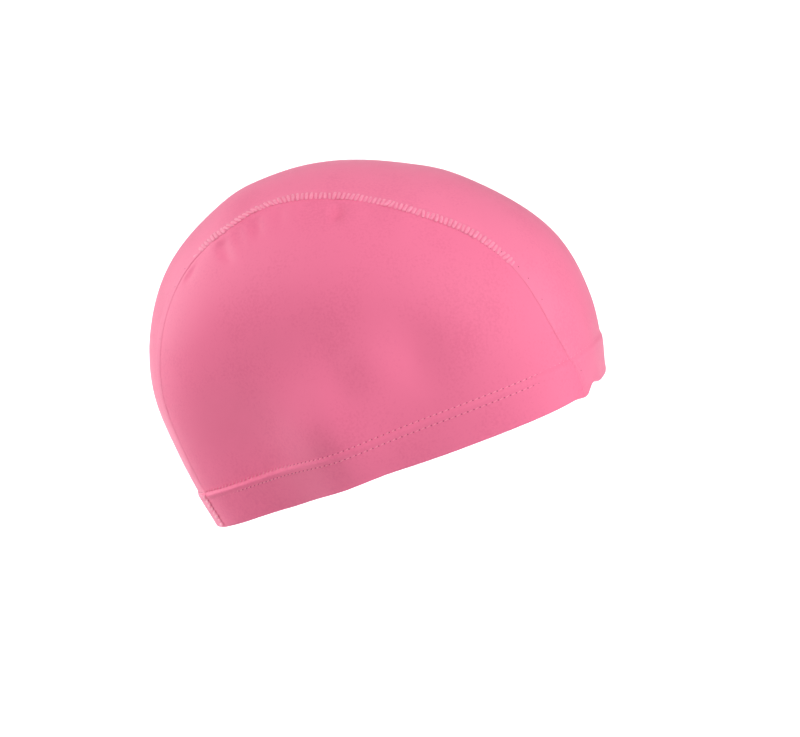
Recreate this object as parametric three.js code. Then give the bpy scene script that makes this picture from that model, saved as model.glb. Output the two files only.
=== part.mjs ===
// A stretch-knit swim cap in the form that it takes on a head: one centre panel from the forehead
// over the crown to the nape, a side panel over each ear, and the turned-up leaf of the hem inside
// the rim. Both the panels and the leaf are walls one cloth thick.
// Millimetres. In the cap's own group +X is the front, +Y the wearer's left, and +Z points up
// from the rim plane, with zero at the middle of the rim.
import * as THREE from 'three';

// Driving dimensions.
const rimHalfLength = 93.5; // forehead to nape at the rim, half
const rimHalfWidth = 74; // ear to ear at the rim, half
const crownHeight = 139; // rim plane to the top of the form
const clothThickness = 1.2; // one layer of coated knit
const sewnGap = 0.3; // between two pieces that are sewn together
const hemDepth = 16; // foot of the hem to the turned-up edge inside
const hemShoulder = 3; // the height over which the cloth swells out to the doubled hem
const hemStandOut = 0.8; // how far the turned-up leaf pushes the cloth out
const stripHalfWidth = 44; // centre panel over the crown
const stripForeheadHalfWidth = 34; // centre panel at the rim, in front
const stripNapeHalfWidth = 48; // the same at the back
const stripFlareHeight = 22; // how far up the centre panel's width changes
const foreheadRise = 1.2; // rim edge above the rim plane at the front
const earRise = 1.6; // the same at the sides
const napeRise = 0; // the same at the back
const earStandOut = 5; // how far an ear lifts the cloth
const wornTilt = 22; // degrees that the rim climbs from the nape to the forehead

// Level sections of the form. climb is in degrees, from the rim at 0 to the crown at 90. long and wide
// are shares of the rim's half-length and half-width, before the sections close in over the crown.
// shift is the share of the rim's half-length that a section lies ahead of the rim's middle, and square
// is the exponent of its outline, which is an ellipse at 2.
const sections = [
  { climb: 0, long: 1.004, wide: 1.0, shift: 0.004, square: 2.7 },
  { climb: 15, long: 1.109, wide: 1.07, shift: 0.005, square: 2.38 },
  { climb: 30, long: 1.215, wide: 1.2, shift: -0.027, square: 2.12 },
  { climb: 45, long: 1.253, wide: 1.309, shift: -0.077, square: 2.0 },
  { climb: 60, long: 1.262, wide: 1.378, shift: -0.126, square: 1.99 },
  { climb: 75, long: 1.242, wide: 1.45, shift: -0.14, square: 2.0 },
  { climb: 90, long: 1.24, wide: 1.48, shift: -0.13, square: 2.0 },
];

// Swells and hollows of the cloth over and round an ear. ahead and along are shares of the rim's
// half-length, up and tall are shares of the crown's height, lift is a share of the ear's stand-out.
const earRelief = [
  { form: 'lobe', ahead: -0.12, up: 0.21, along: 0.24, tall: 0.14, lift: 1.7 },
  { form: 'front of the ear', ahead: 0.15, up: 0.36, along: 0.15, tall: 0.1, lift: 0.5 },
  { form: 'between the two', ahead: 0.02, up: 0.36, along: 0.09, tall: 0.12, lift: -0.3 },
  { form: 'under the lobe', ahead: -0.1, up: 0, along: 0.16, tall: 0.16, lift: 0.35 },
  { form: 'hollow behind', ahead: -0.52, up: 0.2, along: 0.3, tall: 0.23, lift: -1.5 },
  { form: 'hollow above', ahead: -0.1, up: 0.47, along: 0.38, tall: 0.12, lift: -0.5 },
  { form: 'hollow in front', ahead: 0.4, up: 0.32, along: 0.12, tall: 0.12, lift: -0.45 },
  { form: 'hollow at the hem', ahead: -0.46, up: -0.03, along: 0.24, tall: 0.12, lift: -0.6 },
];

// Facets.
const sideColumns = 34;
const sideRows = 16;
const stripRows = 44;
const stripColumns = 12;
const leafColumns = 96;
const leafRows = 3;
const foldRows = 6;

const degree = Math.PI / 180;

// The shares of the section at a climb in radians, on smooth curves through the table's rows.
function sectionAt(climb) {
  const step = (sections[1].climb - sections[0].climb) * degree;
  const last = sections.length - 1;
  const place = THREE.MathUtils.clamp(climb / step, 0, last);
  const low = Math.min(Math.floor(place), last - 1);
  const t = place - low;
  const row = (index) => sections[THREE.MathUtils.clamp(index, 0, last)];
  const smooth = (name) => {
    const [before, from, to, after] = [low - 1, low, low + 1, low + 2].map((index) => row(index)[name]);
    const leave = (to - before) / 2;
    const arrive = (after - from) / 2;
    const swing = from - to;
    return from + t * (leave + t * (-3 * swing - 2 * leave - arrive + t * (2 * swing + leave + arrive)));
  };
  return { long: smooth('long'), wide: smooth('wide'), shift: smooth('shift'), square: smooth('square') };
}

// Where a point lies in the section at its own height, as shares of that section's reach.
function sharesOf(point) {
  const climb = Math.asin(THREE.MathUtils.clamp(point.z / crownHeight, 0, 1));
  const { long, wide, shift, square } = sectionAt(climb);
  const ahead = (point.x - rimHalfLength * shift) / (rimHalfLength * long);
  const aside = point.y / (rimHalfWidth * wide);
  return { ahead, aside, square };
}

// Below zero inside the form, zero on it.
function outside(point) {
  const { ahead, aside, square } = sharesOf(point);
  const level = Math.abs(ahead) ** square + Math.abs(aside) ** square;
  return level ** (2 / square) + (point.z / crownHeight) ** 2 - 1;
}

// The point where a ray from inside the form leaves it.
function leave(from, direction) {
  let near = 0;
  let far = rimHalfLength + rimHalfWidth + crownHeight;
  const point = new THREE.Vector3();
  for (let halving = 0; halving < 40; halving += 1) {
    const middle = (near + far) / 2;
    point.copy(direction).multiplyScalar(middle).add(from);
    if (outside(point) < 0) near = middle;
    else far = middle;
  }
  return point;
}

// The outward normal of the form.
function normalAt(point) {
  const probe = clothThickness / 20;
  const slope = (axis) => {
    const step = new THREE.Vector3().setComponent(axis, probe);
    return outside(point.clone().add(step)) - outside(point.clone().sub(step));
  };
  return new THREE.Vector3(slope(0), slope(1), slope(2)).normalize();
}

// How far the rim's edge lies above the rim plane, round from the forehead to the nape.
function rimRiseAt(point) {
  const { ahead, aside, square } = sharesOf(point);
  const level = Math.hypot(Math.abs(ahead) ** (square / 2), Math.abs(aside) ** (square / 2));
  const lengthwise = Math.abs(ahead) ** (square / 2) / level;
  const endRise = ahead > 0 ? foreheadRise : napeRise;
  return endRise * lengthwise ** 10 + earRise * (1 - lengthwise ** 2);
}

// How far the ears push the cloth out or let it sink at a point of the form.
function reliefAt(point) {
  const sideways = Math.abs(point.y) / rimHalfWidth;
  const overTheEar = THREE.MathUtils.smoothstep(sideways, 0.35, 0.75);
  const swell = earRelief.reduce((sum, { ahead, up, along, tall, lift }) => {
    const lengthwise = (point.x / rimHalfLength - ahead) / along;
    const upright = (point.z / crownHeight - up) / tall;
    return sum + lift * Math.exp(-(lengthwise ** 2) - upright ** 2);
  }, 0);
  return earStandOut * overTheEar * swell;
}

// How far the hem's second layer pushes the cloth out at a point of the form.
function hemSwellAt(point) {
  const height = point.z - rimRiseAt(point) - hemDepth;
  return hemStandOut * (1 - THREE.MathUtils.smoothstep(height, 0, hemShoulder));
}

// The cloth's outer face over a point of the form, or a face at some depth under it.
function clothPoint(point, depth) {
  const lift = reliefAt(point) + hemSwellAt(point) - depth;
  return normalAt(point).multiplyScalar(lift).add(point);
}

// A point of the form by its height over the rim's edge and its bearing round from the front.
function rimPoint(height, bearing) {
  const direction = new THREE.Vector3(Math.cos(bearing), Math.sin(bearing), 0);
  let point = leave(new THREE.Vector3(), direction);
  for (let pass = 0; pass < 4; pass += 1) {
    const from = new THREE.Vector3(0, 0, rimRiseAt(point) + height);
    point = leave(from, direction);
  }
  return point;
}

// The place inside the form that the panels are laid out from.
const heart = new THREE.Vector3(-0.05 * rimHalfLength, 0, 0.35 * crownHeight);

// Half the width of the centre panel level with a point of the form.
function stripHalfWidthAt(point) {
  const atRim = point.x > heart.x ? stripForeheadHalfWidth : stripNapeHalfWidth;
  const flare = Math.exp(-((Math.max(point.z, 0) / stripFlareHeight) ** 2));
  return stripHalfWidth - (stripHalfWidth - atRim) * flare;
}

// A point of a lane that runs over the form from front to back. The lane gives its distance from the
// middle level with a point, and turn is the angle round the heart, up from level at the front.
function lanePoint(lane, turn) {
  const direction = new THREE.Vector3(Math.cos(turn), 0, Math.sin(turn));
  let point = heart.clone();
  for (let pass = 0; pass < 6; pass += 1) {
    const from = new THREE.Vector3(heart.x, lane(point), heart.z);
    point = leave(from, direction);
  }
  return point;
}

// The two turns, at the front and at the back, at which a lane is at a height over the rim's edge.
function laneEnds(lane, height) {
  const above = (turn) => {
    const point = lanePoint(lane, turn);
    return point.z - rimRiseAt(point) - height;
  };
  const end = (low, high) => {
    let [under, over] = [low, high];
    for (let halving = 0; halving < 30; halving += 1) {
      const middle = (under + over) / 2;
      if (above(middle) < 0) under = middle;
      else over = middle;
    }
    return (under + over) / 2;
  };
  return [end(-60 * degree, 30 * degree), end(240 * degree, 150 * degree)];
}

// A closed body between an outer and an inner grid of points, each a list of rows.
function bodyBetween(outer, inner) {
  const rows = outer.length;
  const columns = outer[0].length;
  const positions = [...outer.flat(), ...inner.flat()].flatMap((point) => point.toArray());
  const at = (layer, row, column) => layer * rows * columns + row * columns + column;
  const index = [];
  const face = (a, b, c, d) => index.push(a, b, c, a, c, d);
  for (let row = 0; row + 1 < rows; row += 1) {
    for (let column = 0; column + 1 < columns; column += 1) {
      face(at(0, row, column), at(0, row, column + 1), at(0, row + 1, column + 1), at(0, row + 1, column));
      face(at(1, row, column), at(1, row + 1, column), at(1, row + 1, column + 1), at(1, row, column + 1));
    }
    const end = columns - 1;
    face(at(0, row, 0), at(0, row + 1, 0), at(1, row + 1, 0), at(1, row, 0));
    face(at(0, row, end), at(1, row, end), at(1, row + 1, end), at(0, row + 1, end));
  }
  for (let column = 0; column + 1 < columns; column += 1) {
    const end = rows - 1;
    face(at(0, 0, column), at(1, 0, column), at(1, 0, column + 1), at(0, 0, column + 1));
    face(at(0, end, column), at(0, end, column + 1), at(1, end, column + 1), at(1, end, column));
  }
  return facets(positions, index);
}

// A closed body of closed outlines, one after another round a ring.
function bodyRound(outlines) {
  const count = outlines.length;
  const corners = outlines[0].length;
  const positions = outlines.flat().flatMap((point) => point.toArray());
  const index = [];
  for (let ring = 0; ring < count; ring += 1) {
    for (let corner = 0; corner < corners; corner += 1) {
      const next = ((ring + 1) % count) * corners;
      const here = ring * corners;
      const other = (corner + 1) % corners;
      index.push(here + corner, next + other, next + corner, here + corner, here + other, next + other);
    }
  }
  return facets(positions, index);
}

function facets(positions, index) {
  const geometry = new THREE.BufferGeometry();
  geometry.setAttribute('position', new THREE.Float32BufferAttribute(positions, 3));
  geometry.setIndex(index);
  geometry.computeVertexNormals();
  return geometry;
}

// One layer of cloth over a grid of points of the form.
function clothLayer(grid) {
  const face = (depth) => grid.map((row) => row.map((point) => clothPoint(point, depth)));
  return bodyBetween(face(0), face(clothThickness));
}

// The numbers from 0 to 1 in equal steps.
function steps(count) {
  return Array.from({ length: count + 1 }, (_, index) => index / count);
}

// The hem's fold is half round, as thick as two layers and the gap between them.
const foldRadius = clothThickness + sewnGap / 2;

// The heights of a panel's rows over the hem, from its foot on the fold to the top of the shoulder.
const hemRows = [
  foldRadius + sewnGap,
  (foldRadius + hemDepth) / 2,
  hemDepth,
  hemDepth + hemShoulder / 2,
  hemDepth + hemShoulder,
];

// The centre panel: lanes side by side from the forehead over the crown to the nape.
function centrePanel() {
  const lanes = steps(stripColumns).map((share) => {
    const lane = (point) => (1 - 2 * share) * (stripHalfWidthAt(point) - sewnGap / 2);
    const ends = hemRows.map((height) => laneEnds(lane, height));
    const [front, back] = ends.at(-1);
    const arch = steps(stripRows).map((way) => THREE.MathUtils.lerp(front, back, way));
    const hemTurns = ends.slice(0, -1);
    const turns = [...hemTurns.map((end) => end[0]), ...arch, ...hemTurns.toReversed().map((end) => end[1])];
    return turns.map((turn) => lanePoint(lane, turn));
  });
  return clothLayer(lanes);
}

// A side panel: level rows over the hem, and above them a patch between the hem and the seam, whose
// curve over the ear is taken as three of the patch's four edges. side is 1 on the wearer's left and
// -1 on the right.
function sidePanel(side) {
  const upright = 0.27; // the share of the seam that each upright edge takes
  const lane = (point) => side * (stripHalfWidthAt(point) + sewnGap / 2);
  const levelRow = (height) => {
    const corners = laneEnds(lane, height).map((turn) => lanePoint(lane, turn));
    const bearings = corners.map((corner) => Math.atan2(side * corner.y, corner.x));
    const row = steps(sideColumns).map((way) => (
      rimPoint(height, side * THREE.MathUtils.lerp(bearings[0], bearings[1], way))));
    return [corners[0], ...row.slice(1, -1), corners[1]];
  };
  const overHem = hemRows.map(levelRow);
  const [front, back] = laneEnds(lane, hemRows.at(-1));
  const seam = (way) => lanePoint(lane, THREE.MathUtils.lerp(front, back, way));
  const mix = (a, b, t) => a.clone().lerp(b, t);
  const bottom = overHem.at(-1);
  const top = steps(sideColumns).map((way) => seam(upright + (1 - 2 * upright) * way));
  const fore = steps(sideRows).map((way) => seam(upright * way));
  const aft = steps(sideRows).map((way) => seam(1 - upright * way));
  const patch = steps(sideRows).map((up, row) => steps(sideColumns).map((way, column) => {
    const onEdge = row === 0 || row === sideRows || column === 0 || column === sideColumns;
    const upwards = mix(bottom[column], top[column], up);
    const across = mix(fore[row], aft[row], way);
    const cornered = mix(mix(bottom[0], bottom[sideColumns], way), mix(top[0], top[sideColumns], way), up);
    const blend = upwards.add(across).sub(cornered);
    return onEdge ? blend : leave(heart, blend.sub(heart).normalize());
  }));
  const grid = [...overHem, ...patch.slice(1)];
  return clothLayer(side > 0 ? grid : grid.map((row) => row.toReversed()));
}

// The turned-up leaf of the hem: one layer inside the panels' lower edges, which stand on its fold.
function hemTurnUp() {
  const outerDepth = clothThickness + sewnGap;
  const innerDepth = outerDepth + clothThickness;
  const rising = steps(leafRows).map((way) => THREE.MathUtils.lerp(foldRadius, hemDepth, way));
  const fold = steps(foldRows).slice(0, -1).map((way) => ({
    height: foldRadius * (1 - Math.sin(way * Math.PI)),
    depth: foldRadius * (1 - Math.cos(way * Math.PI)),
  }));
  const outline = [
    ...rising.toReversed().map((height) => ({ height, depth: outerDepth })),
    ...fold,
    ...rising.map((height) => ({ height, depth: innerDepth })),
  ];
  const bearings = steps(leafColumns).slice(0, -1).map((way) => way * 2 * Math.PI);
  return bodyRound(bearings.map((bearing) => outline.map(({ height, depth }) => (
    clothPoint(rimPoint(height, bearing), depth)))));
}

// The inside of the crown where the top of the head touches, highest when the cap is worn.
function headSeat() {
  const middle = () => 0;
  const up = new THREE.Vector3(Math.sin(wornTilt * degree), 0, Math.cos(wornTilt * degree));
  const height = (turn) => lanePoint(middle, turn).dot(up);
  let [low, high] = [30 * degree, 150 * degree];
  for (let third = 0; third < 60; third += 1) {
    const [near, far] = [low + (high - low) / 3, high - (high - low) / 3];
    if (height(near) < height(far)) low = near;
    else high = far;
  }
  return clothPoint(lanePoint(middle, (low + high) / 2), clothThickness);
}

const knit = { roughness: 0.45, metalness: 0 };

function piece(name, geometry, color) {
  const mesh = new THREE.Mesh(geometry, new THREE.MeshStandardMaterial({ color, ...knit }));
  mesh.name = name;
  return mesh;
}

const cap = new THREE.Group();
cap.add(piece('centre_panel', centrePanel(), '#f08aa8'));
cap.add(piece('side_panel_left', sidePanel(1), '#ec7c9c'));
cap.add(piece('side_panel_right', sidePanel(-1), '#ec7c9c'));
cap.add(piece('hem_turn_up', hemTurnUp(), '#e87a98'));

// The cap sits tilted, as it is worn, with the inside of its crown at the zero point.
cap.rotation.y = -wornTilt * degree;
cap.position.copy(headSeat().applyEuler(cap.rotation).negate());

const model = new THREE.Group();
model.add(cap);

export default model;
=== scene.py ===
from math import cos, pi, radians, sin

import bmesh
import bpy
import numpy as np
from mathutils import Matrix, Vector


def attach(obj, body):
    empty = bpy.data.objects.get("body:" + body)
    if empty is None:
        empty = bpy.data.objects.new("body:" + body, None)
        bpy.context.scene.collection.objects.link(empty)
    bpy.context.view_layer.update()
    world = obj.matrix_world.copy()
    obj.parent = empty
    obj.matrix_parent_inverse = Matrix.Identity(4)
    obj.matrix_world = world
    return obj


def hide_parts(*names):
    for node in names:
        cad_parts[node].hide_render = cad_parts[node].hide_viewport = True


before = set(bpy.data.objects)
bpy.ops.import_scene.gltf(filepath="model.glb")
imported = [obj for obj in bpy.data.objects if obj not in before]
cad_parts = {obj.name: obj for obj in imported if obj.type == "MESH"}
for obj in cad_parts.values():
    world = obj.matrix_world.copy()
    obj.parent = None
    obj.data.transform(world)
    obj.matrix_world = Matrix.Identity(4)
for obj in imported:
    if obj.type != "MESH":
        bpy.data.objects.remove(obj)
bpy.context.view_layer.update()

# Centre panel: one strip of coated stretch knit from the forehead over the crown to the nape, drawn
# smooth over a head. Along both seams its edge is turned under, which lifts a low band beside them,
# and at the rim the cloth goes down round the fold of the hem.
rim_half_length = 0.0935
rim_half_width = 0.074
crown_height = 0.139
cloth_thickness = 0.0012
strip_half_width = 0.044
strip_forehead_half_width = 0.034
strip_nape_half_width = 0.048
strip_flare_height = 0.022
forehead_rise, ear_rise, nape_rise = 0.0012, 0.0016, 0
ear_stand_out = 0.005
hem_depth, hem_shoulder, hem_stand_out = 0.016, 0.003, 0.0008
fold_radius = 0.00135
worn_tilt = radians(22)
row_heights = 0.0143, 0.0179  # the hem's two rows of stitches
seam_opening = 0.00002


def table(columns, *rows):
    return {name: np.array(values) for name, values in zip(columns.split(), zip(*rows))}


# Level sections from the rim up to the crown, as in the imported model: shares of the rim's half-length
# and half-width, and the exponent of the outline.
sections = table(
    "long wide shift square",
    (1.004, 1.0, 0.004, 2.7),
    (1.109, 1.07, 0.005, 2.38),
    (1.215, 1.2, -0.027, 2.12),
    (1.253, 1.309, -0.077, 2.0),
    (1.262, 1.378, -0.126, 1.99),
    (1.242, 1.45, -0.14, 2.0),
    (1.24, 1.48, -0.13, 2.0),
)
# Swells and hollows over and round an ear. ahead and along are shares of the rim's half-length, up and
# tall of the crown's height, lift of the ear's stand-out.
ear_relief = table(
    "ahead up along tall lift",
    (-0.12, 0.21, 0.24, 0.14, 1.7),
    (0.15, 0.36, 0.15, 0.1, 0.5),
    (0.02, 0.36, 0.09, 0.12, -0.3),
    (-0.1, 0, 0.16, 0.16, 0.35),
    (-0.52, 0.2, 0.3, 0.23, -1.5),
    (-0.1, 0.47, 0.38, 0.12, -0.5),
    (0.4, 0.32, 0.12, 0.12, -0.45),
    (-0.46, -0.03, 0.24, 0.12, -0.6),
)
# Puckers in the side panels along the seam. turn is the angle round the heart of the cap from level at
# the front, in degrees; spread is in degrees too; reach is how far they run from the seam.
puckers = table(
    "turn spread start reach depth",
    (68, 2.4, 0.009, 0.006, 0.0021),
    (57, 2.6, 0.006, 0.008, 0.0005),
    (80, 2.4, 0.006, 0.008, 0.0005),
    (89, 2.2, 0.006, 0.008, 0.0007),
    (98, 2.2, 0.008, 0.007, 0.0013),
    (105, 2.0, 0.006, 0.008, 0.0006),
    (112, 2.6, 0.008, 0.009, 0.0014),
    (127, 3.5, 0.002, 0.006, 0.0010),
    (40, 3.0, 0.003, 0.007, 0.0003),
    (25, 3.0, 0.003, 0.007, 0.0003),
)
# Bumps along a line. By turn, the seams swing out from their even course and the crown is fuller beside
# them. The hem's edge hangs lower or, below zero, higher: in front by the distance outwards from the
# seam, at the sides by the place along the cap.
seam_swings = table("middle spread size", (108, 9, 0.0028), (45, 13, 0.0024))
crown_swells = table("middle spread size", (46, 9, 0.0009), (106, 8, 0.0009))
front_droops = table("middle spread size", (-0.0015, 0.0050, 0.0013), (-0.0140, 0.0070, -0.0018))
side_droops = table("middle spread size", (-0.044, 0.017, 0.0014), (0.002, 0.016, -0.0008))
# Where something sets in, is full, begins to fade and has gone: by turn in degrees, or along the cap,
# or inwards from the seam.
crown_stitch_turns = 8, 24, 112, 124
drawn_up_turns = 70, 85, 112, 122
slanted_rung_turns = 70, 102, 150, 190
behind_ear_places = -0.076, -0.050, -0.042, -0.015
seam_band_reach = -0.0010, 0.0010, 0.0040, 0.0056
# Where something sets in and is full, or begins to fade and has gone: the ears' relief by share of the
# rim's half-width, the rest outwards from the seam, along the cap, or up from the hem's edge.
ear_relief_sets_in = 0.35, 0.75
puckers_set_in = 0.0008, 0.0055
nape_ridge_sets_in = -0.0005, 0.004
crown_swells_fade = -0.004, 0.028
nape_ridge_fades = -0.075, 0.02
row_grooves_fade = 0.078, 0.088
hem_stitches_fade = 0.072, 0.082
droops_fade = 0.0015, 0.013
# Heights and depths of the cloth's fine relief, each with the distance that it spreads.
row_groove_depth, row_groove_spread = 0.00012, 0.0005
row_ridge_height, nape_ridge_height, row_ridge_spread = 0.0001, 0.0006, 0.0012
hem_tuck, ear_hem_tuck = 0.0007, 0.0044
seam_band_height, stitched_band_height = 0.00012, 0.00012
drawn_up_height, drawn_up_spread = 0.0009, 0.009
ditch_depth, deep_ditch_depth = 0.00002, 0.00016
deep_ditch_turn, deep_ditch_spread = 125, 7
ditch_outward_spread, ditch_inward_spread = 0.0009, 0.0003


def smoothstep(value, low, high):
    share = np.clip((value - low) / (high - low), 0, 1)
    return share * share * (3 - 2 * share)


def bump(value, middle, spread):
    return np.exp(-(((value - middle) / spread) ** 2))


def bumps(value, rows):
    """The sum of a table's bumps at a value."""
    away = (value[..., None] - rows["middle"]) / rows["spread"]
    return (rows["size"] * np.exp(-(away**2))).sum(-1)


def window(value, start, full, fade, end):
    return smoothstep(value, start, full) * (1 - smoothstep(value, fade, end))


def section_at(height):
    """The values of the sections' columns at a height, smoothly from one section to the next."""
    climb = np.degrees(np.arcsin(np.clip(height / crown_height, 0, 1)))
    place = np.clip(climb / 15, 0, 6)
    low = np.minimum(place.astype(int), 5)
    t = place - low
    shares = []
    for column in sections.values():
        before, start, end, after = (column[np.clip(low + k, 0, 6)] for k in (-1, 0, 1, 2))
        leave_slope, arrive_slope = (end - before) / 2, (after - start) / 2
        swing = start - end
        bend = -3 * swing - 2 * leave_slope - arrive_slope
        twist = 2 * swing + leave_slope + arrive_slope
        shares.append(start + t * (leave_slope + t * (bend + t * twist)))
    return shares


def shares_of(points):
    """Places as shares of the section's half-length and half-width, and the outline's exponent."""
    long, wide, shift, square = section_at(points[..., 2])
    ahead = (points[..., 0] - rim_half_length * shift) / (rim_half_length * long)
    return ahead, points[..., 1] / (rim_half_width * wide), square


def outside(points):
    """Below zero inside the form, above zero outside it."""
    ahead, aside, square = shares_of(points)
    level = abs(ahead) ** square + abs(aside) ** square
    return level ** (2 / square) + (points[..., 2] / crown_height) ** 2 - 1


def leave(origin, direction):
    """Where rays from inside the form leave it: first by halving, then along the chord."""
    near = np.zeros(direction.shape[:-1])
    far = near + 0.32
    for halving in range(7):
        middle = (near + far) / 2
        inside = outside(origin + direction * middle[..., None]) < 0
        near = np.where(inside, middle, near)
        far = np.where(inside, far, middle)
    before, after = (outside(origin + direction * way[..., None]) for way in (near, far))
    for chord in range(5):
        middle = near - before * (far - near) / (after - before)
        value = outside(origin + direction * middle[..., None])
        inside = value < 0
        near, before = np.where(inside, middle, near), np.where(inside, value, before)
        far, after = np.where(inside, far, middle), np.where(inside, after, value)
        stuck = abs(far - near) < 1e-9
        after = np.where(stuck, before + 1e-9, after)
    return origin + direction * middle[..., None]


def normal_at(points):
    slopes = [outside(points + step) - outside(points - step) for step in np.eye(3) * 6e-5]
    slope = np.stack(slopes, -1)
    return slope / np.linalg.norm(slope, axis=-1, keepdims=True)


def rim_rise(points):
    """How far the hem's even edge stands above the rim's plane."""
    ahead, aside, square = shares_of(points)
    level = np.hypot(abs(ahead) ** (square / 2), abs(aside) ** (square / 2))
    lengthwise = abs(ahead) ** (square / 2) / level
    end_rise = np.where(ahead > 0, forehead_rise, nape_rise)
    return end_rise * lengthwise**10 + ear_rise * (1 - lengthwise**2)


def height_over_rim(points):
    return points[..., 2] - rim_rise(points)


heart = np.array((-0.05 * rim_half_length, 0, 0.35 * crown_height))


def turn_of(points):
    turn = np.degrees(np.arctan2(points[..., 2] - heart[2], points[..., 0] - heart[0]))
    return np.where(turn < -90, turn + 360, turn)


def strip_half_width_at(points):
    at_rim = np.where(points[..., 0] > heart[0], strip_forehead_half_width, strip_nape_half_width)
    flare = np.exp(-((np.maximum(points[..., 2], 0) / strip_flare_height) ** 2))
    wander = bumps(turn_of(points), seam_swings)
    return strip_half_width + wander - (strip_half_width - at_rim) * flare


def seam_strength(turn):
    """The cover stitch stands out over the crown and on the hem at the nape. Between, it sinks in."""
    weak_place, its_spread, weakness = 59, 4, 0.6
    over_crown = window(turn, *crown_stitch_turns) * (1 - weakness * bump(turn, weak_place, its_spread))
    at_nape = 0.8 * smoothstep(turn, 200, 202)
    return np.maximum(over_crown, at_nape)


def lift_of(points, normals):
    """How far the cloth's outer face stands off the form."""
    x, y, z = (points[..., axis] for axis in range(3))
    lengthwise = (x[..., None] / rim_half_length - ear_relief["ahead"]) / ear_relief["along"]
    upright = (z[..., None] / crown_height - ear_relief["up"]) / ear_relief["tall"]
    ears = (ear_relief["lift"] * np.exp(-(lengthwise**2) - upright**2)).sum(-1)
    lift = ear_stand_out * smoothstep(abs(y) / rim_half_width, *ear_relief_sets_in) * ears

    # aside is the distance from the seam along the cloth, above zero on the side panel.
    turn = turn_of(points)
    aside = (abs(y) - strip_half_width_at(points)) / np.sqrt(np.clip(1 - normals[..., 1] ** 2, 0.05, 1))
    lift += bumps(turn, crown_swells) * (1 - smoothstep(aside, *crown_swells_fade))

    # The hem: double cloth, a groove at each row of stitches, a ridge between them, a tucked-in edge.
    height = height_over_rim(points)
    lift += hem_stand_out * (1 - smoothstep(height - hem_depth, 0, hem_shoulder))
    low_row, high_row = row_heights
    towards_nape = (1 - smoothstep(x, *nape_ridge_fades)) * smoothstep(aside, *nape_ridge_sets_in)
    sewn = 1 - smoothstep(x, *row_grooves_fade)
    grooves = bump(height, low_row, row_groove_spread) + bump(height, high_row, row_groove_spread)
    ridge = bump(height, (low_row + high_row) / 2, row_ridge_spread)
    lift -= row_groove_depth * sewn * grooves
    lift += (row_ridge_height * sewn + nape_ridge_height * towards_nape) * ridge
    behind_ear = window(x, *behind_ear_places) * smoothstep(aside, 0, 0.004)
    lift -= (hem_tuck + ear_hem_tuck * behind_ear) * np.clip(1 - height / low_row, 0, 1)

    # The seam: a band of cloth turned under and drawn up over the crown, a ditch and the puckers.
    band = window(-aside, *seam_band_reach)
    lift += (seam_band_height + stitched_band_height * seam_strength(turn)) * band
    lift += drawn_up_height * window(turn, *drawn_up_turns) * bump(aside, 0, drawn_up_spread)
    ditch = ditch_depth + deep_ditch_depth * bump(turn, deep_ditch_turn, deep_ditch_spread)
    from_ditch = np.where(aside > 0, aside / ditch_outward_spread, aside / ditch_inward_spread)
    lift -= ditch * np.exp(-(from_ditch**2))
    along = (turn[..., None] - puckers["turn"]) / puckers["spread"]
    run = (aside[..., None] - puckers["start"]) / puckers["reach"]
    gathered = (puckers["depth"] * np.exp(-(along**2) - run**2)).sum(-1)
    return lift - gathered * smoothstep(aside, *puckers_set_in)


def droop_of(points):
    """How far the hem's edge hangs below its even line, in front and at the sides."""
    x = points[..., 0]
    aside = abs(points[..., 1]) - strip_half_width_at(points)
    in_front = bumps(aside, front_droops) * smoothstep(x, 0.02, 0.06)
    at_side = bumps(x, side_droops) * smoothstep(aside, 0, 0.01)
    return (in_front + at_side) * (1 - smoothstep(height_over_rim(points), *droops_fade))


def cloth_point(points, depth=0.0):
    """The cloth's outer face over points of the form, or what lies at a depth under it."""
    normals = normal_at(points)
    face = points + normals * (lift_of(points, normals) - depth)[..., None]
    face[..., 2] -= droop_of(points)
    return face


def lane_point(lane, turn):
    """Points of lanes over the form from front to back. lane gives their distance from the middle."""
    direction = np.stack((np.cos(turn), 0 * turn, np.sin(turn)), -1)
    points = np.broadcast_to(heart, direction.shape)
    for again in range(5):
        start = np.stack((0 * turn + heart[0], lane(points), 0 * turn + heart[2]), -1)
        points = leave(start, direction)
    return points


def lane_ends(lane, heights, lanes=1):
    """The turns at which lanes reach some heights over the rim, at the front and at the back."""
    ends = []
    for low, high in ((-40, 25), (222, 155)):
        tried = np.radians(np.linspace(low, high, 40))[:, None] + np.zeros(lanes)
        reached = height_over_rim(lane_point(lane, tried))
        wanted = heights[:, None] + np.zeros(lanes)
        turns = np.stack([np.interp(heights, reached[:, k], tried[:, k]) for k in range(lanes)], -1)
        slope = np.stack([np.interp(heights, reached[:, k], np.gradient(tried[:, k], reached[:, k]))
                          for k in range(lanes)], -1)
        for again in range(3):
            turns = turns + (wanted - height_over_rim(lane_point(lane, turns))) * slope
        ends.append(turns)
    return ends


def rim_point(height, bearing):
    """Points of the form at a height over the hem's edge, by bearing round the cap."""
    direction = np.stack((np.cos(bearing), np.sin(bearing), 0 * bearing), -1)
    points = leave(np.zeros(3), direction)
    for again in range(3):
        start = np.zeros(direction.shape)
        start[..., 2] = rim_rise(points) + height
        points = leave(start, direction)
    return points


seat_turns = np.radians(np.linspace(30, 150, 2401))
crown_line = lane_point(lambda points: 0 * points[..., 0], seat_turns)
seat = crown_line[np.argmax(crown_line @ (sin(worn_tilt), 0, cos(worn_tilt)))]
seat = cloth_point(seat[None], cloth_thickness)[0]
tilt = np.array(Matrix.Rotation(-worn_tilt, 3, "Y"))


def worn(points):
    """From the cap's own place, with the rim's plane level, to the row frame."""
    return (points - seat) @ tilt.T


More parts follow.
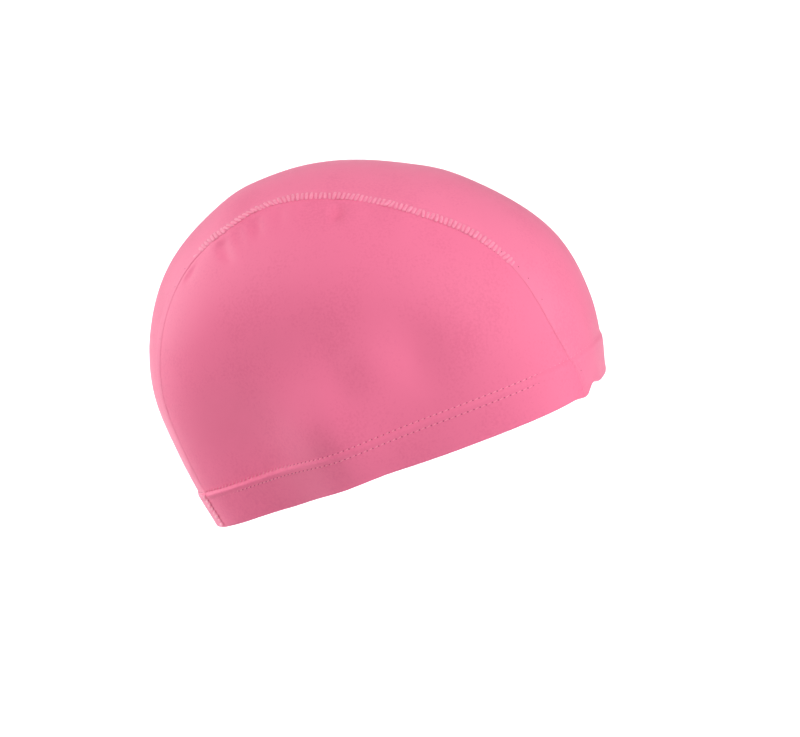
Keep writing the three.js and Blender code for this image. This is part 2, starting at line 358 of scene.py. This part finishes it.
def graded(length, fine, coarse, start_reach, end_reach):
    """Places from 0 to 1 along a length, close together at the ends that have a reach."""
    place, places = 0.0, [0.0]
    while place < length:
        calm = 1.0
        if start_reach:
            calm *= float(smoothstep(place, 0.2 * start_reach, start_reach))
        if end_reach:
            calm *= float(smoothstep(length - place, 0.2 * end_reach, end_reach))
        place += fine + (coarse - fine) * calm
        places.append(place)
    return np.array(places) / places[-1]


def add_object(name, data):
    made = bpy.data.objects.new(name, data)
    bpy.context.scene.collection.objects.link(made)
    return made


def cloth_mesh(name, points):
    """A sheet over a grid of points, rows by columns, with its UV in metres along the cloth."""
    rows, columns = points.shape[:2]
    bm = bmesh.new()
    bmesh.ops.create_grid(bm, x_segments=columns - 1, y_segments=rows - 1, size=0.5)
    mesh = bpy.data.meshes.new(name)
    bm.to_mesh(mesh)
    bm.free()
    flat = np.zeros(len(mesh.vertices) * 3)
    mesh.vertices.foreach_get("co", flat)
    column, row = (np.rint((flat.reshape(-1, 3)[:, axis] + 0.5) * (count - 1)).astype(int)
                   for axis, count in ((0, columns), (1, rows)))
    mesh.vertices.foreach_set("co", points[row, column].ravel())
    step_u = np.linalg.norm(np.diff(points, axis=1), axis=-1)
    step_v = np.linalg.norm(np.diff(points, axis=0), axis=-1)
    u = np.pad(step_u.cumsum(1), ((0, 0), (1, 0)))
    u -= u[:, -1:] / 2
    v = np.pad(step_v.cumsum(0), ((1, 0), (0, 0)))
    corner = np.zeros(len(mesh.loops), int)
    mesh.loops.foreach_get("vertex_index", corner)
    uv = np.stack((u[row[corner], column[corner]], v[row[corner], column[corner]]), -1)
    mesh.uv_layers.new(name="cloth").data.foreach_set("uv", uv.ravel())
    mesh.shade_smooth()
    mesh.update()
    return add_object(name, mesh)


def give_thickness(thing):
    wall = thing.modifiers.new("one layer of cloth", "SOLIDIFY")
    wall.thickness = cloth_thickness
    wall.offset = -1
    return thing


def node(tree, kind, place, links=(), **values):
    made = tree.nodes.new(kind)
    made.location = place
    for name, value in values.items():
        setattr(made, name, value)
    for socket, source in dict(links).items():
        if hasattr(source, "links"):
            tree.links.new(source, made.inputs[socket])
        else:
            made.inputs[socket].default_value = source
    return made


def two_tone(tree, place, factor, tones, positions):
    """The colour output of a ramp between a dark and a light tone."""
    ramp = node(tree, "ShaderNodeValToRGB", place, {"Fac": factor})
    for element, tone, position in zip(ramp.color_ramp.elements, tones, positions):
        element.position = position
        element.color = (*tone, 1)
    return ramp.outputs["Color"]


def knit(name, light, dark):
    """Coated stretch knit: fine wales and courses under a satin film, a little uneven in colour."""
    wale = 0.0005
    wave_scale = 2 * pi / 20
    made = bpy.data.materials.new(name)
    made.use_nodes = True
    tree = made.node_tree
    surface = tree.nodes["Principled BSDF"]
    surface.inputs["Roughness"].default_value = 0.46
    surface.inputs["Specular IOR Level"].default_value = 0.15
    surface.inputs["Sheen Weight"].default_value = 0.1
    surface.inputs["Sheen Roughness"].default_value = 0.45
    surface.inputs["Sheen Tint"].default_value = (1.0, 0.8, 0.86, 1)
    where = node(tree, "ShaderNodeTexCoord", (-1500, 0))
    place, flat = where.outputs["Object"], where.outputs["UV"]
    cloud = node(tree, "ShaderNodeTexNoise", (-1100, 300), {"Vector": place, "Scale": 38, "Detail": 3})
    speck = node(tree, "ShaderNodeTexNoise", (-1100, 60), {"Vector": place, "Scale": 900, "Detail": 2})
    blend = node(tree, "ShaderNodeMath", (-900, 200),
                 {0: cloud.outputs["Fac"], 1: speck.outputs["Fac"]}, operation="ADD")
    colour = two_tone(tree, (-650, 220), blend.outputs[0], (dark, light), (0.7, 1.0))
    tree.links.new(colour, surface.inputs["Base Color"])
    wales = node(tree, "ShaderNodeTexWave", (-1100, -200),
                 {"Vector": flat, "Scale": wave_scale / wale}, bands_direction="X")
    courses = node(tree, "ShaderNodeTexWave", (-1100, -480),
                   {"Vector": flat, "Scale": wave_scale / (0.8 * wale)}, bands_direction="Y")
    loops = node(tree, "ShaderNodeMath", (-850, -300),
                 {0: wales.outputs["Fac"], 1: courses.outputs["Fac"]}, operation="MULTIPLY")
    fine = node(tree, "ShaderNodeBump", (-400, -250),
                {"Height": loops.outputs[0], "Strength": 0.25, "Distance": 0.00006})
    soft = node(tree, "ShaderNodeBump", (-200, -250),
                {"Height": cloud.outputs["Fac"], "Strength": 0.35, "Distance": 0.0006,
                 "Normal": fine.outputs[0]})
    tree.links.new(soft.outputs["Normal"], surface.inputs["Normal"])
    return made


# The grid is fine along the seams and round the hem's stitches, and coarse elsewhere.
centre_columns = 2 * graded(2 * strip_half_width, 0.00035, 0.0022, 0.012, 0.012) - 1
stitches_start, stitches_end, hem_top = 0.0125, 0.0195, 0.024
hem_heights = np.concatenate((
    np.linspace(fold_radius, stitches_start, 9)[:-1],
    np.linspace(stitches_start, stitches_end, 18)[:-1],
    np.linspace(stitches_end, hem_top, 6),
))


def centre_lane(points):
    return centre_columns * (strip_half_width_at(points) - seam_opening / 2)


fronts, backs = lane_ends(centre_lane, hem_heights, len(centre_columns))
ways = np.linspace(0, 1, 330)[1:-1, None]
centre_turns = np.concatenate((fronts, fronts[-1] + (backs[-1] - fronts[-1]) * ways, backs[::-1]))
centre_grid = lane_point(centre_lane, centre_turns)


def fold_rows(points, foot_first=True):
    """The rows that go round the hem's fold, on from the foot of the cloth."""
    foot = points[0] if foot_first else points[-1]
    normals = normal_at(foot)
    face = cloth_point(foot, fold_radius)
    rows = []
    for share in np.linspace(0.5, 0, 5, endpoint=False):
        swing = share * pi
        below = np.array((0, 0, fold_radius)) * sin(swing)
        rows.append(face + normals * fold_radius * cos(swing) - below)
    return rows if foot_first else rows[::-1]


centre_face = np.concatenate(
    (fold_rows(centre_grid), cloth_point(centre_grid), fold_rows(centre_grid, False)))
centre = give_thickness(cloth_mesh("centre_panel_cloth", worn(centre_face)))
# Painted light: the centre panel's tones are a little lighter and paler than the side panels' knit, for
# the light and sheen that the strip catches from above.
centre.data.materials.append(knit("centre panel knit painted lighter", (0.89, 0.210, 0.350), (0.85, 0.190, 0.325)))
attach(centre, "root")
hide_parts("centre_panel")

# Side panels: one D-shaped piece of the same knit over each ear, sewn to the centre panel all round its
# curve. The ear lifts it, and the cloth sinks behind and over it.
side_length, side_height = 0.215, 0.115
side_places = graded(side_length, 0.0004, 0.0011, 0.010, 0.010)
upright = 0.27  # the share of the seam's way that makes the panel's front edge, and its back edge


def side_lane(points):
    return -(strip_half_width_at(points) + seam_opening / 2)


ends = np.stack(lane_ends(side_lane, hem_heights), 1)[..., 0]
corners = lane_point(side_lane, ends)
first, last = (np.arctan2(-corners[:, end, 1], corners[:, end, 0])[:, None] for end in (0, 1))
side_hem = rim_point(hem_heights[:, None] + 0 * side_places, -(first + (last - first) * side_places))
side_hem[:, 0], side_hem[:, -1] = corners[:, 0], corners[:, 1]
front_turn, back_turn = ends[-1]
rising = graded(side_height, 0.0004, 0.0011, 0, 0.010)[:, None]


def along_seam(way):
    return lane_point(side_lane, front_turn + (back_turn - front_turn) * way)


# A grid between the four edges, blended from them and then cast out onto the form.
bottom, top = side_hem[-1][None], along_seam(upright + (1 - 2 * upright) * side_places)[None]
fore, aft = along_seam(upright * rising), along_seam(1 - upright * rising)
across = side_places[None, :, None]
upwards = bottom + (top - bottom) * rising[..., None]
sideways = fore + (aft - fore) * across
low_line = bottom[:, :1] + (bottom[:, -1:] - bottom[:, :1]) * across
high_line = top[:, :1] + (top[:, -1:] - top[:, :1]) * across
patch = upwards + sideways - low_line - (high_line - low_line) * rising[..., None]
rays = patch - heart
cast = leave(heart, rays / np.linalg.norm(rays, axis=-1, keepdims=True))
cast[-1], cast[:, 0], cast[:, -1] = patch[-1], patch[:, 0], patch[:, -1]
side_grid = np.concatenate((side_hem, cast[1:]))
side_face = np.concatenate((fold_rows(side_grid), cloth_point(side_grid)))
side_knit = knit("side panel knit", (0.88, 0.187, 0.328), (0.84, 0.168, 0.304))
for name, side in (("side_panel_right", 1), ("side_panel_left", -1)):
    face = side_face * (1, side, 1)
    panel = cloth_mesh(name + "_cloth", worn(face[:, ::-1] if side > 0 else face))
    give_thickness(panel)
    panel.data.materials.append(side_knit)
    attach(panel, "root")
    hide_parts(name)

# Hem: the panels' cloth turned up inside the rim and stitched down. Its leaf lies flat on the inside
# of the panels, from the bottom of the fold to a raw edge behind the two rows of stitches.
bearings = np.linspace(0, 2 * pi, 421)
leaf_depth = 2 * fold_radius - cloth_thickness
leaf_rows = np.concatenate((np.linspace(fold_radius, hem_depth - 0.0004, 12), [hem_depth]))
outline = [(height, leaf_depth) for height in leaf_rows[::-1]]
for radius, swings in ((leaf_depth - fold_radius, np.linspace(0, pi / 2, 4)[1:]),
                       (fold_radius, np.linspace(pi / 2, 0, 7)[:-1])):
    for swing in swings:
        outline.append((fold_radius - radius * sin(swing), fold_radius + radius * cos(swing)))
outline += [(height, 2 * fold_radius) for height in leaf_rows]
outline.append(outline[0])
leaf_points = np.stack([
    cloth_point(rim_point(np.full(bearings.shape, max(height, 0.0)), bearings), depth)
    for height, depth in outline])
leaf = cloth_mesh("hem_turn_up_cloth", worn(leaf_points))
bm = bmesh.new()
bm.from_mesh(leaf.data)
bmesh.ops.remove_doubles(bm, verts=bm.verts, dist=1e-6)
bmesh.ops.recalc_face_normals(bm, faces=bm.faces)
bm.to_mesh(leaf.data)
bm.free()
leaf.data.materials.append(knit("hem knit", (0.89, 0.19, 0.335), (0.85, 0.17, 0.31)))
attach(leaf, "root")
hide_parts("hem_turn_up")

# Seam stitches: a cover stitch along each seam. Its threads cross the turned-under edge of the centre
# panel side by side, like the rungs of a ladder, and lean over where they run down behind the crown.
rung_pitch, rung_length, rung_width, rung_height = 0.0020, 0.0048, 0.00150, 0.00085
rungs_aside = -0.0019
sunk_in, raised_by_strength, raised_by_looseness = -0.00040, 0.00033, 0.00006
slant_in_front, slant_behind_crown, slant_by_hand = 0.02, -0.6, 0.11
weak_length, longer_by_strength, longer_by_looseness, wider_by_hand = 0.85, 0.15, 0.07, 0.06


def surface_frame(points):
    """At a row of points: the outer face, the directions along and across it, the outward normal."""
    face = cloth_point(points)
    normal = normal_at(points)
    along = np.gradient(points, axis=0)
    along -= normal * (along * normal).sum(-1, keepdims=True)
    along /= np.linalg.norm(along, axis=-1, keepdims=True)
    return face, along, np.cross(normal, along), normal


def evenly(points, places, pitch, start=0.5):
    """Places one pitch apart along a curve. The pitch may change along it."""
    steps = np.linalg.norm(np.diff(points, axis=0), axis=-1)
    stitches = np.append(0, (steps / np.broadcast_to(pitch, places.shape)[1:]).cumsum())
    return np.interp(np.arange(start, stitches[-1]), stitches, places)


def thread_bead(name, squareness=0.6):
    """A plump length of thread, one unit long, wide and high, with its UV along it."""
    bm = bmesh.new()
    bm.loops.layers.uv.new("thread")
    bmesh.ops.create_uvsphere(bm, u_segments=10, v_segments=6, radius=0.5, calc_uvs=True,
                              matrix=Matrix.Rotation(pi / 2, 4, "Y"))
    for vert in bm.verts:
        plumper = [np.sign(axis) * 0.5 * abs(2 * axis) ** squareness for axis in vert.co[:2]]
        vert.co = (*plumper, vert.co.z)
    mesh = bpy.data.meshes.new(name)
    bm.to_mesh(mesh)
    bm.free()
    mesh.shade_smooth()
    return mesh


def scatter(name, bead, frames, material):
    """One piece of many beads, each at a frame: middle, length, width and height as vectors."""
    bm = bmesh.new()
    for middle, length, width, height in frames:
        place = Matrix((length, width, height)).transposed().to_4x4()
        place.translation = middle
        bead.transform(place)
        bm.from_mesh(bead)
        bead.transform(place.inverted())
    bmesh.ops.recalc_face_normals(bm, faces=bm.faces)
    mesh = bpy.data.meshes.new(name)
    bm.to_mesh(mesh)
    bm.free()
    mesh.shade_smooth()
    mesh.materials.append(material)
    thing = add_object(name, mesh)
    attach(thing, "root")
    return thing


def thread(name, light, dark):
    """Textured stretch thread: strands that wind round it."""
    made = bpy.data.materials.new(name)
    made.use_nodes = True
    tree = made.node_tree
    surface = tree.nodes["Principled BSDF"]
    surface.inputs["Roughness"].default_value = 0.55
    surface.inputs["Specular IOR Level"].default_value = 0.3
    surface.inputs["Sheen Weight"].default_value = 0.3
    where = node(tree, "ShaderNodeTexCoord", (-1200, 0))
    strands = node(tree, "ShaderNodeTexWave", (-900, -100),
                   {"Vector": where.outputs["UV"], "Scale": 1.6, "Distortion": 1.5},
                   bands_direction="DIAGONAL")
    fuzz = node(tree, "ShaderNodeTexNoise", (-900, 200),
                {"Vector": where.outputs["Object"], "Scale": 700})
    colour = two_tone(tree, (-600, 200), fuzz.outputs["Fac"], (dark, light), (0.35, 0.65))
    tree.links.new(colour, surface.inputs["Base Color"])
    relief = node(tree, "ShaderNodeBump", (-400, -150),
                  {"Height": strands.outputs["Fac"], "Strength": 0.5, "Distance": 0.00012})
    tree.links.new(relief.outputs["Normal"], surface.inputs["Normal"])
    return made


def beside_seam(turn, aside):
    """Points beside the right seam: on the side panel above zero, on the centre panel below zero."""
    on_seam = lane_point(lambda points: -strip_half_width_at(points), turn)
    slope = np.sqrt(1 - normal_at(on_seam)[..., 1] ** 2)
    return lane_point(lambda points: -(strip_half_width_at(points) + aside * slope), turn)


front_end, back_end = lane_ends(side_lane, np.array([0.0022]))
seam_turns = np.linspace(front_end[0, 0], back_end[0, 0], 1200)
rung_turns = evenly(beside_seam(seam_turns, 0), seam_turns, rung_pitch)
rung_turns = rung_turns[seam_strength(np.degrees(rung_turns)) > 0.04]
strength = seam_strength(np.degrees(rung_turns))[:, None]
hand = np.random.default_rng(11)
looser, leaning = (hand.normal(size=strength.shape) for kind in range(2))
face, along, across, normal = surface_frame(beside_seam(rung_turns, rungs_aside))
behind_crown = window(np.degrees(rung_turns)[:, None], *slanted_rung_turns)
slant = slant_in_front + slant_behind_crown * behind_crown + slant_by_hand * leaning
slanted = across * np.cos(slant) + along * np.sin(slant)
raised = sunk_in + raised_by_strength * strength + raised_by_looseness * looser
reach = weak_length + longer_by_strength * strength + longer_by_looseness * looser
rung_frames = np.stack((
    face + normal * raised,
    slanted * rung_length * reach,
    np.cross(normal, slanted) * rung_width * (1 + wider_by_hand * leaning),
    normal * rung_height,
), 1)
# Needle holes of the seams, drawn as dark beads: painted shade for the shade inside each hole. There
# are small ones between the rungs' feet in front, and single ones where the stitch sinks in, at the
# front below the crown and on the way down behind it.
single_holes = table(
    "turn aside size",
    (-21, -0.0028, 0.00055),
    (-1, -0.0030, 0.00050),
    (5.5, -0.0030, 0.00055),
    (9.5, -0.0028, 0.00060),
    (12.5, -0.0024, 0.00055),
    (15.5, -0.0022, 0.00055),
    (127.5, -0.0022, 0.00060),
    (134, -0.0020, 0.00055),
    (151, -0.0020, 0.00050),
)
heart_to_seam = 0.085
feet_aside, feet_size, feet_last_turn = 0.0002, 0.00034, radians(46)
hole_sink, hole_depth = 0.00002, 0.00014
feet = rung_turns[1:] - 0.5 * rung_pitch / heart_to_seam
feet = feet[(strength[1:, 0] > 0.5) & (feet < feet_last_turn) & (looser[1:, 0] > -0.6)]
single_turns = np.radians(single_holes["turn"])
hole_shade_rows = []
for turns, aside, size in ((feet, feet_aside, np.full(feet.shape, feet_size)),
                           (single_turns, single_holes["aside"], single_holes["size"])):
    face, along, across, normal = surface_frame(beside_seam(turns, aside))
    size = size[:, None]
    hole_shade_rows.append(np.stack(
        (face - normal * hole_sink, along * size, across * size, normal * hole_depth), 1))


def plain(name, colour, roughness):
    made = bpy.data.materials.new(name)
    made.use_nodes = True
    surface = made.node_tree.nodes["Principled BSDF"]
    surface.inputs["Base Color"].default_value = (*colour, 1)
    surface.inputs["Roughness"].default_value = roughness
    return made


seam_thread = thread("seam thread", (0.95, 0.29, 0.43), (0.90, 0.24, 0.38))
# Painted shade: the needle holes' dark pink stands for the shade inside each hole.
hole_shade = plain("painted needle hole shade", (0.46, 0.06, 0.13), 0.8)
plump, round_hole = thread_bead("plump thread"), thread_bead("hole", 1.0)


def in_row_frame(frames):
    """Frames, each a middle and three directions, turned from the cap's own place as it is worn."""
    middles, directions = worn(frames[:, :1]), frames[:, 1:] @ tilt.T
    return np.concatenate((middles, directions), 1)


def both_sides(frames):
    return in_row_frame(np.concatenate((frames, frames * (1, -1, 1))))


scatter("seam_threads", plump, both_sides(rung_frames), seam_thread)
seam_hole_shades = both_sides(np.concatenate(hole_shade_rows))
scatter("seam_needle_hole_shade", round_hole, seam_hole_shades, hole_shade)

# Hem stitches and their needle holes, the holes drawn as dark beads of painted shade: two rows that
# hold the turned-up leaf.
# The thread lies in a shallow groove between one hole and the next, and on the ridge towards the nape
# the upper row stands out. Near the forehead both fade into the cloth.
hem_pitch, front_hem_pitch = 0.0023, 0.0028
stitch_length, stitch_width, stitch_height, stitch_sink = 0.0021, 0.00050, 0.00042, 0.00014
hem_hole_length, hem_hole_width, hem_hole_depth = 0.00060, 0.00064, 0.00016
lean_in_groove, lean_more_on_ridge = 0.30, 0.5
hem_bearings = np.linspace(0, 2 * pi, 1601)
stitch_frames, hem_hole_shades = [], []
for height, last_hole, ridge_rise in zip(row_heights, (-0.065, -0.033), (-0.00004, 0.00022)):
    row = rim_point(np.full(hem_bearings.shape, height), hem_bearings)
    pitch = hem_pitch + (front_hem_pitch - hem_pitch) * smoothstep(row[:, 0], -0.06, 0.07)
    for start in (0, 0.5):
        places = evenly(row, hem_bearings, pitch, start)
        points = rim_point(np.full(places.shape, height), places)
        face, along, across, normal = surface_frame(points)
        x = points[:, 0, None]
        on_side = abs(points[:, 1, None]) > strip_half_width_at(points)[:, None]
        on_ridge = smoothstep(-x, -last_hole, 0.005 - last_hole) * on_side
        fading = smoothstep(x, *hem_stitches_fade)
        if start:
            lean = lean_in_groove + lean_more_on_ridge * on_ridge
            slanted = along * np.cos(lean) + across * np.sin(lean)
            stitch_frames.append(np.stack((
                face + normal * (ridge_rise * on_ridge - stitch_sink),
                slanted * stitch_length,
                np.cross(normal, slanted) * stitch_width,
                normal * stitch_height * (1 - 0.6 * fading)), 1))
        else:
            size = (1 - 0.85 * fading) * (1 - 0.9 * on_ridge)
            hem_hole_shades.append(np.stack((
                face + normal * 0.00001,
                along * hem_hole_length * size,
                across * hem_hole_width * size,
                normal * hem_hole_depth * size), 1))
stitch_frames, hem_hole_shades = (in_row_frame(np.concatenate(rows)) for rows in (stitch_frames, hem_hole_shades))
scatter("hem_threads", plump, stitch_frames, seam_thread)
scatter("hem_needle_hole_shade", round_hole, hem_hole_shades, hole_shade)

# Studio: a pale floor that sweeps up into the backdrop, far enough below that the cap throws no
# shadow on what the camera sees of it.
camera_azimuth = radians(12.5)
floor_width, floor_front, sweep_start, sweep_radius = 14, -5, 3, 2
steps, sweep_from, sweep_to = 40, 20, 32
floor_mesh = bpy.data.meshes.new("floor")
bm = bmesh.new()
bmesh.ops.create_grid(bm, x_segments=1, y_segments=steps, size=0.5)
for vert in bm.verts:
    way = (vert.co.y + 0.5) * steps
    if way < sweep_from:
        back, rise = floor_front + way * 0.4, 0.0
    elif way < sweep_to:
        swing = (way - sweep_from) / (sweep_to - sweep_from) * pi / 2
        back, rise = sweep_start + sweep_radius * sin(swing), sweep_radius * (1 - cos(swing))
    else:
        back, rise = sweep_start + sweep_radius, sweep_radius + (way - sweep_to) * 0.5
    vert.co = (vert.co.x * floor_width, back, rise)
bm.to_mesh(floor_mesh)
bm.free()
floor_mesh.shade_smooth()
floor = add_object("floor", floor_mesh)
floor.location = (0, 0, -0.6)
floor.rotation_euler = (0, 0, camera_azimuth)
floor.data.materials.append(plain("pale floor", (0.93, 0.93, 0.93), 0.9))

world = bpy.data.worlds.new("studio")
world.use_nodes = True
sky = world.node_tree
where = node(sky, "ShaderNodeTexCoord", (-900, 0))
above = node(sky, "ShaderNodeSeparateXYZ", (-700, 0), {0: where.outputs["Generated"]})
paler = node(sky, "ShaderNodeMapRange", (-500, 0), {
    "Value": above.outputs["Z"],
    "From Min": -0.6,
    "From Max": 0.8,
    "To Min": 0.03,
    "To Max": 0.05,
})
sky.links.new(paler.outputs[0], sky.nodes["Background"].inputs["Strength"])
sky.nodes["Background"].inputs["Color"].default_value = (1, 1, 1, 1)
bpy.context.scene.world = world
bpy.context.scene.view_settings.view_transform = "Standard"


def area_light(name, width, length, power):
    light = bpy.data.lights.new(name, "AREA")
    light.shape = "RECTANGLE"
    light.size = width
    light.size_y = length
    light.energy = power
    return add_object(name, light)


def aim(thing, target, azimuth, elevation, distance):
    """Places a light or the camera at a distance from a target and turns it to look at it."""
    back = Vector((sin(azimuth) * cos(elevation), -cos(azimuth) * cos(elevation), sin(elevation)))
    thing.location = Vector(target) + back * distance
    thing.rotation_euler = back.to_track_quat("Z", "Y").to_euler()


softbox_size = 1.2
for name, azimuth, elevation, distance, power in (
    ("right softbox", 92, 14, 1.6, 13.2),
    ("front right softbox", 45, 35, 1.6, 17),
    ("front left softbox", -60, 35, 1.6, 12.5),
    ("left softbox", -103, 12, 1.6, 16),
    ("top softbox", 0, 84, 1.8, 3),
):
    box = area_light(name, softbox_size, softbox_size, power)
    aim(box, (0, 0, -0.07), radians(azimuth), radians(elevation), distance)
# One more light shines straight down on the backdrop alone, so that it is evenly pale behind the cap.
backdrop_light = area_light("backdrop light", 3.0, 5.6, 92)
backdrop_light.data.spread = radians(30)
backdrop_light.location = (-0.8, 3.6, 2.6)
backdrop_light.rotation_euler = (0, 0, camera_azimuth)

# Camera: at the photograph's angle to the cap, level with it and a little above.
camera = add_object("camera", bpy.data.cameras.new("camera"))
aim(camera, (0.00515, 0, -0.070), camera_azimuth, radians(9.0), 1.1)
camera.data.sensor_width = 36
camera.data.lens = 109.0
camera.data.shift_x = 0.0370
camera.data.shift_y = -0.0646
camera.data.clip_start = 0.05
camera.data.clip_end = 50
bpy.context.scene.camera = camera
